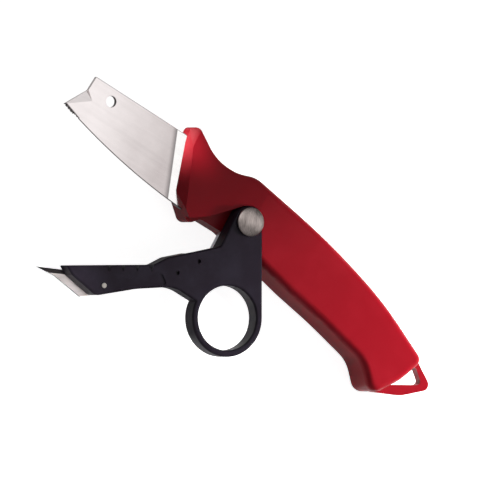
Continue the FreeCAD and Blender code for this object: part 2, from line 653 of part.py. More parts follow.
# V-shaped grip notches in the front edge of the jaw
def jaw_notches():
    cutters = []
    for index in range(NOTCH_COUNT):
        u = NOTCH_START + index * NOTCH_PITCH
        top = jaw_height(u)
        half = NOTCH_WIDTH / 2.0
        outline = [(u - half, top + 0.5), (u + half, top + 0.5), (u, top - NOTCH_DEPTH)]
        cutters.append(prism(polygon(outline), NOTCH_FLOOR, LEVER_FRONT + 1.0))
    return Part.makeCompound(cutters)


def lower_blade_wire():
    return Part.Wire([
        straight(LOWER_TIP, LOWER_BEAK),
        straight(LOWER_BEAK, LOWER_CHIN),
        straight(LOWER_CHIN, LOWER_HEEL),
        straight(LOWER_HEEL, LOWER_ROOT),
        straight(LOWER_ROOT, LOWER_EDGE_END),
        straight(LOWER_EDGE_END, LOWER_EDGE_DIP),
        straight(LOWER_EDGE_DIP, LOWER_TIP),
    ])


# The lower blade lies behind the jaw: flat at the back, ground on the front along its top edge
def lower_blade():
    blade = prism(lower_blade_wire(), LOWER_BLADE_BACK, LOWER_BLADE_FRONT)
    land = LOWER_BLADE_THICKNESS - LOWER_BEVEL_LAND
    blade = blade.cut(bevel_cutter(LOWER_EDGE_DIP, LOWER_TIP, LOWER_BEVEL_WIDTH, LOWER_BLADE_FRONT, land, 1.0))
    blade = blade.cut(cylinder(RIVET_PLACE, RIVET_RADIUS, 0.0, HANDLE_THICKNESS))
    return blade.cut(cylinder(REAR_PIN_PLACE, REAR_PIN_RADIUS, 0.0, HANDLE_THICKNESS))


# A rivet through jaw and lower blade, flush with both faces
def lower_blade_rivet():
    return cylinder(RIVET_PLACE, RIVET_RADIUS, LOWER_BLADE_BACK, LEVER_FRONT + RIVET_HEAD_HEIGHT)


def rear_blade_pin():
    return cylinder(REAR_PIN_PLACE, REAR_PIN_RADIUS, LOWER_BLADE_BACK, LEVER_FRONT - REAR_PIN_SINK)


def lever_bush():
    return tube((0, 0), BUSH_RADIUS, PIVOT_RADIUS + BUSH_CLEARANCE, LEVER_BACK, LEVER_FRONT)


HANDLE_PARTS = {
    "handle_front_shell": handle_front_shell,
    "handle_back_shell": handle_back_shell,
    "fixed_blade": fixed_blade,
    "tang_pins": tang_pins,
    "handle_screws": handle_screws,
    "screw_inserts": screw_inserts,
    "pivot_sleeve": pivot_sleeve,
    "pivot_bolt": pivot_bolt,
    "pivot_nut": pivot_nut,
    "thrust_washer": thrust_washer,
    "head_washer": head_washer,
    "return_spring": return_spring,
    "spring_anchor_pin": spring_anchor_pin,
}

LEVER_PARTS = {
    "finger_lever": finger_lever,
    "lever_bush": lever_bush,
    "lower_blade": lower_blade,
    "lower_blade_rivet": lower_blade_rivet,
    "rear_blade_pin": rear_blade_pin,
    "spring_catch_pin": spring_catch_pin,
}


def main():
    os.makedirs("parts", exist_ok=True)
    for name, make in HANDLE_PARTS.items():
        make().exportStep("parts/" + name + ".step")
    for name, make in LEVER_PARTS.items():
        opened(make()).exportStep("parts/" + name + ".step")


main()
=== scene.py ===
import bmesh
import bpy
import json
import math
from mathutils import Matrix, Vector


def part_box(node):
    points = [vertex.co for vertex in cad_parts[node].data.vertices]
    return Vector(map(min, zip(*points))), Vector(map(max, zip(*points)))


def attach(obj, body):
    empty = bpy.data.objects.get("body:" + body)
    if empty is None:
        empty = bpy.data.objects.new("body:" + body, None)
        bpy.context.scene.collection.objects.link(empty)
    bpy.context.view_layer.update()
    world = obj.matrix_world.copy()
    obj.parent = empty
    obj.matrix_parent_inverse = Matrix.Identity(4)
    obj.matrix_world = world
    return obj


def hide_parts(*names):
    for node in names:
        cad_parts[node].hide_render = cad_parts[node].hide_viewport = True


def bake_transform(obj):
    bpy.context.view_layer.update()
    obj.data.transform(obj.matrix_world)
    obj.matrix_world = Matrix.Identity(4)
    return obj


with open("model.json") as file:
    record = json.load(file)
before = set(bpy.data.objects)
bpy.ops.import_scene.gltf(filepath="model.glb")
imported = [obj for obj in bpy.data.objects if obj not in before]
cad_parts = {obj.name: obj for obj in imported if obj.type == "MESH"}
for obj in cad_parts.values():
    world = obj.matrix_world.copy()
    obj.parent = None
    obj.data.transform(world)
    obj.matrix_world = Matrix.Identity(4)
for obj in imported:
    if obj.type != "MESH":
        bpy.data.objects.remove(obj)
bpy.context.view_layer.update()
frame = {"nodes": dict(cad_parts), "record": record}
scene = bpy.context.scene

# Handle shells: two halves of one satin red moulding, parted at the blade's back face. The
# front half has the lever's recess and the lanyard loop; the faces carry a fine mould grain.
HANDLE_RED = (0.31, 0.004, 0.012, 1.0)
HANDLE_RED_WORN = (0.37, 0.010, 0.020, 1.0)
HANDLE_ROUGHNESS = 0.40
HANDLE_ROUGHNESS_SPAN = (0.32, 0.48)
HANDLE_SHEEN = 0.2
PATCH_PER_METRE = 55.0
WORN_SPAN = (0.45, 0.85)
GRAIN_PER_METRE = 2600.0
GRAIN_DEPTH = 0.00003
NOISE_SPAN = (0.3, 0.7)
SHELL_EDGE = 0.0004
EDGE_SEGMENTS = 2
CREASE = math.radians(32.0)
MOULDED_FACET = math.radians(3.0)
SAME_FLAT = math.radians(0.4)
FLAT_WEIGHT = 100
FEW_SIDES = 4
WELD_DISTANCE = 1e-7


# What goes from node to node: a value, colour or shape; the operators add Math nodes
class Signal:
    def __init__(self, network, socket):
        self.network = network
        self.socket = socket

    def maths(self, operation, first, second):
        return self.network.node("ShaderNodeMath", {"operation": operation}, {0: first, 1: second})

    def __add__(self, other):
        return self.maths("ADD", self, other)

    def __radd__(self, other):
        return self.maths("ADD", other, self)

    def __sub__(self, other):
        return self.maths("SUBTRACT", self, other)

    def __rsub__(self, other):
        return self.maths("SUBTRACT", other, self)

    def __mul__(self, other):
        return self.maths("MULTIPLY", self, other)

    def __rmul__(self, other):
        return self.maths("MULTIPLY", other, self)

    def __pow__(self, other):
        return self.maths("POWER", self, other)

    def higher(self, other):
        return self.maths("MAXIMUM", self, other)


# The nodes of a material, of the studio's sky or of a shape
class Network:
    def __init__(self, tree):
        self.tree = tree

    def feed(self, socket, value):
        if isinstance(value, Signal):
            self.tree.links.new(value.socket, socket)
        else:
            socket.default_value = value

    def node(self, kind, settings, values, output=0):
        made = self.tree.nodes.new(kind)
        for name, value in settings.items():
            setattr(made, name, value)
        for name, value in values.items():
            self.feed(made.inputs[name], value)
        return Signal(self, made.outputs[output])

    # A value carried from one span to another, and held within it
    def mapped(self, value, span, onto=(0.0, 1.0), shape="LINEAR"):
        ends = {"From Min": span[0], "From Max": span[1], "To Min": onto[0], "To Max": onto[1]}
        settings = {"clamp": True, "interpolation_type": shape}
        return self.node("ShaderNodeMapRange", settings, {"Value": value, **ends})


# A material: its surface and the nodes that vary it
class Finish(Network):
    def __init__(self, name, slot, colour, roughness, metallic=0.0):
        self.slot = slot
        self.material = bpy.data.materials.new(name)
        self.material.use_nodes = True
        self.material.diffuse_color = colour
        super().__init__(self.material.node_tree)
        self.surface = self.tree.nodes["Principled BSDF"]
        self.set("Base Color", colour)
        self.set("Roughness", roughness)
        self.set("Metallic", metallic)
        self.place = self.node("ShaderNodeTexCoord", {}, {}, "Object")

    def set(self, name, value):
        self.feed(self.surface.inputs[name], value)

    def along(self, axis):
        return self.node("ShaderNodeSeparateXYZ", {}, {0: self.place}, axis)

    def stretched(self, lengths, turn=0.0):
        values = {"Vector": self.place, "Scale": lengths, "Rotation": (0.0, 0.0, turn)}
        return self.node("ShaderNodeMapping", {"vector_type": "TEXTURE"}, values)

    def noise(self, scale, detail=2.0, roughness=0.5, vector=None):
        values = {"Vector": vector or self.place, "Scale": scale, "Detail": detail, "Roughness": roughness}
        return self.node("ShaderNodeTexNoise", {}, values)

    # Two colours mixed; 6, 7 and 2 are the numbers of the node's colour sockets
    def mix(self, factor, first, second):
        return self.node("ShaderNodeMix", {"data_type": "RGBA"}, {0: factor, 6: first, 7: second}, 2)

    # The roughness goes over a span as a noise goes from low to high
    def roughen(self, noise, span):
        self.set("Roughness", self.mapped(noise, NOISE_SPAN, span))

    def bump(self, height, depth, strength):
        values = {"Height": height, "Distance": depth, "Strength": strength}
        self.set("Normal", self.node("ShaderNodeBump", {}, values))


# A new object in the scene for a mesh, a lamp or a camera
def put_in_scene(name, data):
    piece = bpy.data.objects.new(name, data)
    scene.collection.objects.link(piece)
    return piece


# Puts a finished mesh in the scene as the visible form of one CAD piece
def stand_for(mesh, node, body, finish):
    piece = put_in_scene(node + "_finished", mesh)
    mesh.materials.clear()
    mesh.materials.append(finish.material)
    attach(piece, body)
    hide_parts(node)


# The faces of a finished draft, as a mesh
def mesh_of(name, shape):
    mesh = bpy.data.meshes.new(name)
    shape.to_mesh(mesh)
    shape.free()
    return mesh


# The shape that an object has with its modifiers, as a plain mesh
def settled(piece):
    bpy.context.view_layer.update()
    mesh = bpy.data.meshes.new_from_object(piece.evaluated_get(bpy.context.evaluated_depsgraph_get()))
    bpy.data.objects.remove(piece)
    return mesh


# Facets meet in a crisp line: an edge between two many-sided flats, or any edge if plain is set
def crisp(edge, facet_angle, plain):
    if len(edge.link_faces) != 2:
        return True
    flats = plain or min(len(face.verts) for face in edge.link_faces) > FEW_SIDES
    return flats and edge.calc_face_angle(0.0) > facet_angle


# A welded copy of a piece's faces, with its sharp edges broken by the given width and its flats
# shaded flat
def broken_edges(node, width, facet_angle=MOULDED_FACET, plain=False):
    shape = bmesh.new()
    shape.from_mesh(frame["nodes"][node].data)
    bmesh.ops.remove_doubles(shape, verts=shape.verts, dist=WELD_DISTANCE)
    bmesh.ops.dissolve_limit(shape, angle_limit=SAME_FLAT, verts=shape.verts, edges=shape.edges)
    for face in shape.faces:
        face.smooth = True
    for edge in shape.edges:
        edge.smooth = edge.calc_face_angle(0.0) > CREASE or not crisp(edge, facet_angle, plain)
    holder = put_in_scene(node + "_draft", mesh_of(node + "_finished", shape))
    bevel = holder.modifiers.new("edges", "BEVEL")
    bevel.width = width
    bevel.segments = EDGE_SEGMENTS
    bevel.limit_method = "ANGLE"
    bevel.angle_limit = CREASE
    bevel.use_clamp_overlap = True
    weigh = holder.modifiers.new("flats", "WEIGHTED_NORMAL")
    weigh.mode = "FACE_AREA"
    weigh.weight = FLAT_WEIGHT
    weigh.keep_sharp = True
    return settled(holder)


red = Finish("satin red moulding", "handle_moulding", HANDLE_RED, HANDLE_ROUGHNESS)
red.set("Specular IOR Level", HANDLE_SHEEN)
patches = red.noise(PATCH_PER_METRE, detail=4.0, roughness=0.6)
red.set("Base Color", red.mix(red.mapped(patches, WORN_SPAN), HANDLE_RED, HANDLE_RED_WORN))
red.roughen(red.noise(PATCH_PER_METRE / 2.0, detail=5.0, roughness=0.7), HANDLE_ROUGHNESS_SPAN)
red.bump(red.noise(GRAIN_PER_METRE, detail=3.0, roughness=0.6), GRAIN_DEPTH, strength=0.5)
for node in ("handle_front_shell", "handle_back_shell"):
    stand_for(broken_edges(node, SHELL_EDGE), node, "handle", red)

# Fixed blade: stainless strip with a ground, hook-shaped end, a honed edge and teeth at its tip.
# The ground face is painted darker towards the handle as shade, and where the grind runs out
# there a band of painted shade lies beside it. The strip left unground beside the handle is
# painted brightest, as a highlight, and thin lines of painted shade darken the spine, the hole,
# the honed edge and the teeth.
STEEL = (0.87, 0.81, 0.805, 1.0)
STEEL_HANDLE_SHADE = (0.54, 0.485, 0.48, 1.0)
STEEL_UNGROUND_HIGHLIGHT = (0.93, 0.91, 0.90, 1.0)
STEEL_RUNOUT_SHADE = (0.22, 0.20, 0.20, 1.0)
STEEL_SPINE_SHADE = (0.30, 0.27, 0.27, 1.0)
STEEL_LINE_SHADE = (0.10, 0.09, 0.09, 1.0)
STEEL_ROUGHNESS = 0.2
STEEL_ROUGHNESS_SPAN = (0.18, 0.25)
STEEL_FACET = math.radians(5.0)
BLADE_EDGE = 0.0002
LINES_PER_METRE = 900.0
LINE_STRETCH = 33.0
LINE_DEPTH = 0.000004
CLOUD_PER_METRE = 70.0
CLOUD_SPAN = (0.4, 0.75)
CLOUD_SHARE = 0.25
BLADE_SHADE_SPAN = (-0.072, -0.040)
# The line at which the grind runs out: a place on it, the way across it to the tip, and how wide
# the band of painted shade beside it is
PLUNGE_START = (-0.0399, 0.0170)
PLUNGE_NORMAL = (-0.933, -0.360, 0.0)
RUNOUT_SHADE_WIDTH = 0.0028
# The unground face, painted brighter as a highlight, lies within this depth of the blade's front;
# then the widths of thin lines of painted shade
BRIGHT_DEPTH = 0.00008
BRIGHT_STEP = 0.00004
SPINE_LINE = 0.0003
HOLE_LINE = 0.00005
# The honed edge, painted dark as shade, is an arc through three places, and the band of teeth,
# also painted dark as shade, a straight run to the tip
EDGE_PLACES = [(-0.0782, -0.00035), (-0.0574, -0.0047), (-0.0226, -0.0082)]
HONED_WIDTH = 0.0004
TOOTHED_TIP = (-0.0861, 0.00205)
TOOTHED_WIDTH = 0.0007
TOOTHED_TO = -0.0784
TOOTHED_FADE = 0.0003


def dot(network, first, second):
    operation = {"operation": "DOT_PRODUCT"}
    return network.node("ShaderNodeVectorMath", operation, {0: first, 1: second}, "Value")


# How far a point of a piece lies beyond an upright plane through a place
def beyond(finish, place, normal):
    return dot(finish, finish.place, normal) - (place[0] * normal[0] + place[1] * normal[1])


# How far a point of a piece lies from an upright line through a place
def distance_from(finish, place):
    return ((finish.along("X") - place[0]) ** 2.0 + (finish.along("Y") - place[1]) ** 2.0) ** 0.5


# The centre and radius of the circle through three places
def circle_through(first, middle, last):
    ax, ay = middle[0] - first[0], middle[1] - first[1]
    bx, by = last[0] - first[0], last[1] - first[1]
    twice_area = 2.0 * (ax * by - ay * bx)
    x = (by * (ax * ax + ay * ay) - ay * (bx * bx + by * by)) / twice_area
    y = (ax * (bx * bx + by * by) - bx * (ax * ax + ay * ay)) / twice_area
    return (first[0] + x, first[1] + y), math.hypot(x, y)


steel = Finish("polished blade steel", "blade_steel", STEEL, STEEL_ROUGHNESS, metallic=1.0)
clouds = steel.mapped(steel.noise(CLOUD_PER_METRE, detail=4.0, roughness=0.6), CLOUD_SPAN)
# Painted shade: the ground face darkens towards the handle, with a random cloudy tone in it
handle_shade = steel.mapped(steel.along("X"), BLADE_SHADE_SPAN) + clouds * CLOUD_SHARE
ground = steel.mix(steel.mapped(handle_shade, (0.0, 1.0 + CLOUD_SHARE)), STEEL, STEEL_HANDLE_SHADE)
# Painted shade: a dark band beside the line where the grind runs out
run = beyond(steel, PLUNGE_START, PLUNGE_NORMAL)
runout_shade = steel.mapped(run, (0.0, RUNOUT_SHADE_WIDTH), (1.0, 0.0), "SMOOTHSTEP")
_, blade_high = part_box("fixed_blade")
bright_height = blade_high.z - BRIGHT_DEPTH
# Painted highlight: the unground strip beside the handle is painted brighter than the ground face
unground = steel.mapped(steel.along("Z"), (bright_height, bright_height + BRIGHT_STEP))
blade_face = steel.mix(unground, steel.mix(runout_shade, ground, STEEL_RUNOUT_SHADE), STEEL_UNGROUND_HIGHLIGHT)
# Painted shade: a thin dark line under the spine
spine = steel.mapped(steel.along("Y"), (blade_high.y - SPINE_LINE, blade_high.y - SPINE_LINE / 2.0))
blade_face = steel.mix(spine, blade_face, STEEL_SPINE_SHADE)
hole = next(mount for mount in frame["record"]["mounts"] if mount["name"] == "blade_hole")
hole_radius = hole["dims"]["r_mm"] / 1000.0
# Painted shade: the hole's wall and a thin ring round it are painted dark
from_hole = distance_from(steel, hole["pos_m"])
bored = steel.mapped(from_hole, (hole_radius, hole_radius + HOLE_LINE), (1.0, 0.0))
# Painted shade: a dark band along the honed edge
edge_centre, edge_radius = circle_through(*EDGE_PLACES)
honed_span = (edge_radius - HONED_WIDTH, edge_radius - HONED_WIDTH / 2.0)
honed = steel.mapped(distance_from(steel, edge_centre), honed_span)
# Painted shade: a dark band over the teeth, for the shade in their notches
toothed = (Vector(EDGE_PLACES[0]) - Vector(TOOTHED_TIP)).normalized()
inset = beyond(steel, TOOTHED_TIP, (-toothed.y, toothed.x, 0.0))
teeth = steel.mapped(inset, (TOOTHED_WIDTH / 2.0, TOOTHED_WIDTH), (1.0, 0.0))
teeth = teeth * steel.mapped(steel.along("X"), (TOOTHED_TO, TOOTHED_TO + TOOTHED_FADE), (1.0, 0.0))
blade_face = steel.mix(bored, blade_face, STEEL_LINE_SHADE)
blade_face = steel.mix(honed.higher(teeth), blade_face, STEEL_LINE_SHADE)
steel.set("Base Color", blade_face)
line_way = steel.stretched((LINE_STRETCH, 1.0, 1.0))
lines = steel.noise(LINES_PER_METRE, detail=3.0, roughness=0.6, vector=line_way)
steel.roughen(lines, STEEL_ROUGHNESS_SPAN)
steel.bump(lines, LINE_DEPTH, strength=0.3)
stand_for(broken_edges("fixed_blade", BLADE_EDGE, STEEL_FACET, plain=True), "fixed_blade", "handle", steel)

# Lower blade: plain ground strip, riveted behind the lever's jaw and bevelled along its top
# edge, where the bevel is painted dark as shade. Its face is satin, with fine scratches along the
# blade.
LOWER_STEEL = (0.95, 0.86, 0.84, 1.0)
LOWER_STEEL_DULL = (0.80, 0.72, 0.70, 1.0)
LOWER_BEVEL_SHADE = (0.060, 0.050, 0.052, 1.0)
LOWER_ROUGHNESS = 0.34
LOWER_ROUGHNESS_SPAN = (0.29, 0.44)
LOWER_SHINE = 0.12
# The top edge in the open knife: a place on it, the way across it into the blade, and its bevel,
# which is painted dark as shade
LOWER_EDGE_PLACE = (-0.05315, -0.05193)
LOWER_EDGE_NORMAL = (0.4013, -0.9160, 0.0)
LOWER_BEVEL_WIDTH = 0.0017
LOWER_BEVEL_LINE = 0.0001
LEVER_TURN = math.radians(30.0)
SCRATCH_STRETCH = 20.0
SCRATCH_SPAN = (0.35, 0.7)
SCRATCH_DEPTH = 0.000006

satin = Finish("satin blade steel", "blade_steel", LOWER_STEEL, LOWER_ROUGHNESS, LOWER_SHINE)
scratch_way = satin.stretched((SCRATCH_STRETCH, 1.0, 1.0), LEVER_TURN)
scratches = satin.noise(LINES_PER_METRE, detail=3.0, roughness=0.6, vector=scratch_way)
scratched = satin.mix(satin.mapped(scratches, SCRATCH_SPAN), LOWER_STEEL, LOWER_STEEL_DULL)
# Painted shade: the bevel along the top edge is painted dark
below = beyond(satin, LOWER_EDGE_PLACE, LOWER_EDGE_NORMAL)
beyond_bevel_shade = satin.mapped(below, (LOWER_BEVEL_WIDTH, LOWER_BEVEL_WIDTH + LOWER_BEVEL_LINE))
satin.set("Base Color", satin.mix(beyond_bevel_shade, LOWER_BEVEL_SHADE, scratched))
satin.roughen(scratches, LOWER_ROUGHNESS_SPAN)
satin.bump(scratches, SCRATCH_DEPTH, strength=0.4)
stand_for(broken_edges("lower_blade", BLADE_EDGE, STEEL_FACET, plain=True), "lower_blade", "lever", satin)

# Finger lever: one blue-black satin moulding with the boss, the arm, the jaw and the finger
# ring. It turns on the pivot, and its faces carry the same fine grain as the handle.
LEVER_BLACK = (0.021, 0.015, 0.024, 1.0)
LEVER_RUBBED = (0.029, 0.024, 0.038, 1.0)
LEVER_SHEEN = 0.14
LEVER_ROUGHNESS = 0.42
LEVER_ROUGHNESS_SPAN = (0.48, 0.34)
RUBBED_PER_METRE = 90.0
RUBBED_SPAN = (0.45, 0.8)
LEVER_EDGE = 0.00025

black = Finish("satin blue-black moulding", "lever_plastic", LEVER_BLACK, LEVER_ROUGHNESS)
black.set("Specular IOR Level", LEVER_SHEEN)
rubbed = black.noise(RUBBED_PER_METRE, detail=5.0, roughness=0.65)
black.set("Base Color", black.mix(black.mapped(rubbed, RUBBED_SPAN), LEVER_BLACK, LEVER_RUBBED))
black.roughen(rubbed, LEVER_ROUGHNESS_SPAN)
black.bump(black.noise(GRAIN_PER_METRE), GRAIN_DEPTH, strength=0.4)
stand_for(broken_edges("finger_lever", LEVER_EDGE), "finger_lever", "lever", black)

# Pivot: a steel bolt with a domed head, brushed straight across the open knife, and a flat nut
# with two key holes, which is screwed on its end from the back.
BUTTON_STEEL = (0.33, 0.275, 0.255, 1.0)
BUTTON_BRIGHT = (0.70, 0.61, 0.58, 1.0)
BUTTON_ROUGHNESS = 0.34
BUTTON_ROUGHNESS_SPAN = (0.27, 0.42)
BUTTON_EDGE = 0.0001
BRUSH_PER_METRE = 3200.0
BRUSH_STRETCH = 16.0
BRUSH_DEPTH = 0.00001

brushed = Finish("brushed button steel", "button_steel", BUTTON_STEEL, BUTTON_ROUGHNESS, metallic=1.0)
brush_way = brushed.stretched((1.0, BRUSH_STRETCH, 1.0), LEVER_TURN)
strokes = brushed.noise(BRUSH_PER_METRE, detail=3.0, roughness=0.6, vector=brush_way)
brushed.set("Base Color", brushed.mix(brushed.mapped(strokes, NOISE_SPAN), BUTTON_STEEL, BUTTON_BRIGHT))
brushed.roughen(strokes, BUTTON_ROUGHNESS_SPAN)
brushed.bump(strokes, BRUSH_DEPTH, strength=0.5)
for node in ("pivot_bolt", "pivot_nut"):
    stand_for(broken_edges(node, BUTTON_EDGE), node, "handle", brushed)

# Handle screws: four zinc plated pan heads with a cross recess and a rounded rim, driven from
# the back into the brass inserts, so that they clamp the two shells.
SCREW_PLACES = [(-0.0205, 0.0086), (0.024, -0.0005), (0.050, -0.0046), (0.0765, -0.0135)]
SCREW_HEAD_RADIUS = 0.0024
SCREW_HEAD_HEIGHT = 0.0016
SCREW_SHANK_RADIUS = 0.00125
SCREW_ROUND = 0.0006
SCREW_ROUND_STEPS = 5
SCREW_SIDES = 40
SCREW_TURN = 1.1
CROSS_LENGTH = 0.0028
CROSS_WIDTH = 0.0006
CROSS_DEPTH = 0.0009
CROSS_TAPER = 0.55
SQUARE = ((-1, -1), (1, -1), (1, 1), (-1, 1))
BOX_FACES = ((3, 2, 1, 0), (4, 5, 6, 7), (0, 1, 5, 4), (1, 2, 6, 5), (2, 3, 7, 6), (3, 0, 4, 7))
ZINC = (0.58, 0.54, 0.50, 1.0)
ZINC_DARK = (0.40, 0.37, 0.34, 1.0)
ZINC_ROUGHNESS = 0.33
ZINC_ROUGHNESS_SPAN = (0.25, 0.45)
SPANGLE_PER_METRE = 800.0


# A turned solid: radii and heights from the bottom up, closed by a flat at each end
def turned_solid(name, profile, sides):
    shape = bmesh.new()
    angles = [2.0 * math.pi * side / sides for side in range(sides)]
    rows = []
    for radius, height in profile:
        rows.append([shape.verts.new((radius * math.cos(a), radius * math.sin(a), height)) for a in angles])
    for lower, upper in zip(rows, rows[1:]):
        for side in range(sides):
            following = (side + 1) % sides
            shape.faces.new((lower[side], lower[following], upper[following], upper[side]))
    shape.faces.new(rows[0][::-1])
    shape.faces.new(rows[-1])
    return put_in_scene(name, mesh_of(name, shape))


# A cross of two tapered bars whose tips point up into the head
def cross_cutter(base):
    shape = bmesh.new()
    for length, width in ((CROSS_LENGTH, CROSS_WIDTH), (CROSS_WIDTH, CROSS_LENGTH)):
        corners = []
        for height, share in ((base - CROSS_DEPTH, 1.0), (base + CROSS_DEPTH, CROSS_TAPER)):
            for x, y in SQUARE:
                corners.append(shape.verts.new((x * length * share / 2.0, y * width * share / 2.0, height)))
        for face in BOX_FACES:
            shape.faces.new([corners[index] for index in face])
    return put_in_scene("cross", mesh_of("cross", shape))


# Shades a mesh smooth between its creases
def smooth_between_creases(mesh):
    for face in mesh.polygons:
        face.use_smooth = True
    mesh.set_sharp_from_angle(angle=CREASE)


# One screw, head down, from the face of its head to the end of its shank
def cross_recessed_screw(low, high):
    core = SCREW_HEAD_RADIUS - SCREW_ROUND
    rim = low + SCREW_ROUND
    shoulder = low + SCREW_HEAD_HEIGHT
    profile = [(core, low)]
    for step in range(1, SCREW_ROUND_STEPS + 1):
        angle = math.pi / 2.0 * step / SCREW_ROUND_STEPS
        profile.append((core + SCREW_ROUND * math.sin(angle), rim - SCREW_ROUND * math.cos(angle)))
    profile += [(SCREW_HEAD_RADIUS, shoulder), (SCREW_SHANK_RADIUS, shoulder), (SCREW_SHANK_RADIUS, high)]
    screw = turned_solid("handle_screw", profile, SCREW_SIDES)
    cross = cross_cutter(low)
    recess = screw.modifiers.new("recess", "BOOLEAN")
    recess.object = cross
    recess.operation = "DIFFERENCE"
    recess.solver = "EXACT"
    recess.use_self = True
    mesh = settled(screw)
    bpy.data.objects.remove(cross)
    smooth_between_creases(mesh)
    return mesh


# A mesh put through geometry nodes: steps adds the nodes, inputs gives the kind and the value of
# each named input, and the last node gives the shape its finish
def shaped(name, mesh, inputs, steps, finish):
    tree = bpy.data.node_groups.new(name, "GeometryNodeTree")
    add_socket = tree.interface.new_socket
    add_socket("Mesh", in_out="INPUT", socket_type="NodeSocketGeometry")
    for label, (kind, _) in inputs.items():
        add_socket(label, in_out="INPUT", socket_type="NodeSocket" + kind)
    add_socket("Shape", in_out="OUTPUT", socket_type="NodeSocketGeometry")
    network = Network(tree)
    given = {socket.name: Signal(network, socket) for socket in tree.nodes.new("NodeGroupInput").outputs}
    made = steps(network, given)
    painted = network.node("GeometryNodeSetMaterial", {}, {"Geometry": made, "Material": finish.material})
    network.feed(tree.nodes.new("NodeGroupOutput").inputs[0], painted)
    holder = put_in_scene(name, mesh)
    shaping = holder.modifiers.new(name, "NODES")
    shaping.node_group = tree
    for label, (_, value) in inputs.items():
        shaping[tree.interface.items_tree[label].identifier] = value
    return settled(holder)


# One piece on each point of the mesh, each turned a little further than the last
def set_on_points(network, given):
    piece = network.node("GeometryNodeObjectInfo", {}, {"Object": given["Piece"]}, "Geometry")
    angle = network.node("GeometryNodeInputIndex", {}, {}) * given["Turn"]
    rotation = network.node("ShaderNodeCombineXYZ", {}, {"Z": angle})
    values = {"Points": given["Mesh"], "Instance": piece, "Rotation": rotation}
    spread = network.node("GeometryNodeInstanceOnPoints", {}, values)
    return network.node("GeometryNodeRealizeInstances", {}, {0: spread})


zinc = Finish("zinc plated steel", "fastener_steel", ZINC, ZINC_ROUGHNESS, metallic=1.0)
spangle = zinc.noise(SPANGLE_PER_METRE, detail=3.0)
zinc.set("Base Color", zinc.mix(spangle, ZINC, ZINC_DARK))
zinc.roughen(spangle, ZINC_ROUGHNESS_SPAN)
screws_low, screws_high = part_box("handle_screws")
one_screw = put_in_scene("one_screw", cross_recessed_screw(screws_low.z, screws_high.z))
screw_points = bpy.data.meshes.new("handle_screw_set")
screw_points.from_pydata([(x, y, 0.0) for x, y in SCREW_PLACES], [], [])
screw_inputs = {"Piece": ("Object", one_screw), "Turn": ("Float", SCREW_TURN)}
screw_set = shaped("handle_screw_set", screw_points, screw_inputs, set_on_points, zinc)
bpy.data.objects.remove(one_screw)
stand_for(screw_set, "handle_screws", "handle", zinc)

# Pins and rivet: plain zinc plated steel. The blade's tang pins and the spring's anchor are held
# in the handle; the lower blade's rivet, set flush in the jaw, and the spring's catch pin are in
# the lever.
PIN_EDGE = 0.00008

for node in ("tang_pins", "spring_anchor_pin"):
    stand_for(broken_edges(node, PIN_EDGE), node, "handle", zinc)
for node in ("lower_blade_rivet", "spring_catch_pin"):
    stand_for(broken_edges(node, PIN_EDGE), node, "lever", zinc)

# Rear pin of the lower blade: blackened steel, sunk in the lever, so that only its dark end
# shows.
BLACKENED = (0.020, 0.019, 0.022, 1.0)
BLACKENED_RUBBED = (0.05, 0.048, 0.05, 1.0)
BLACKENED_ROUGHNESS = 0.5
BLACKENED_SHINE = 0.6
BARE_PER_METRE = 900.0
BARE_SPAN = (0.5, 0.8)

blackened = Finish("blackened steel", "fastener_steel", BLACKENED, BLACKENED_ROUGHNESS, BLACKENED_SHINE)
bare = blackened.mapped(blackened.noise(BARE_PER_METRE, detail=3.0, roughness=0.6), BARE_SPAN)
blackened.set("Base Color", blackened.mix(bare, BLACKENED, BLACKENED_RUBBED))
stand_for(broken_edges("rear_blade_pin", PIN_EDGE), "rear_blade_pin", "lever", blackened)

# Bearings: turned brass, a little tarnished. The inserts take the screws, the sleeve lines the
# bore of the handle, and the bush lines the bore of the lever.
BRASS = (0.60, 0.40, 0.14, 1.0)
BRASS_TARNISH = (0.42, 0.27, 0.10, 1.0)
BRASS_ROUGHNESS = 0.3
BRASS_ROUGHNESS_SPAN = (0.22, 0.42)
TARNISH_PER_METRE = 300.0
TARNISH_SPAN = (0.4, 0.8)
BEARING_EDGE = 0.00005

brass = Finish("turned brass", "bearing_brass", BRASS, BRASS_ROUGHNESS, metallic=1.0)
tarnish = brass.noise(TARNISH_PER_METRE, detail=4.0, roughness=0.6)
brass.set("Base Color", brass.mix(brass.mapped(tarnish, TARNISH_SPAN), BRASS, BRASS_TARNISH))
brass.roughen(tarnish, BRASS_ROUGHNESS_SPAN)
for node, body in (("screw_inserts", "handle"), ("pivot_sleeve", "handle"), ("lever_bush", "lever")):
    stand_for(broken_edges(node, BEARING_EDGE), node, body, brass)

# Washers: natural acetal rings that the lever runs between. One lies on the handle, and one
# under the button.
ACETAL = (0.66, 0.63, 0.55, 1.0)
ACETAL_SHADE = (0.56, 0.53, 0.45, 1.0)
ACETAL_ROUGHNESS = 0.45
ACETAL_TRANSLUCENCY = 0.1
TONE_PER_METRE = 400.0
WASHER_EDGE = 0.00005

acetal = Finish("natural acetal", "washer_plastic", ACETAL, ACETAL_ROUGHNESS)
acetal.set("Subsurface Weight", ACETAL_TRANSLUCENCY)
acetal.set("Base Color", acetal.mix(acetal.noise(TONE_PER_METRE), ACETAL, ACETAL_SHADE))
for node in ("thrust_washer", "head_washer"):
    stand_for(broken_edges(node, WASHER_EDGE), node, "handle", acetal)

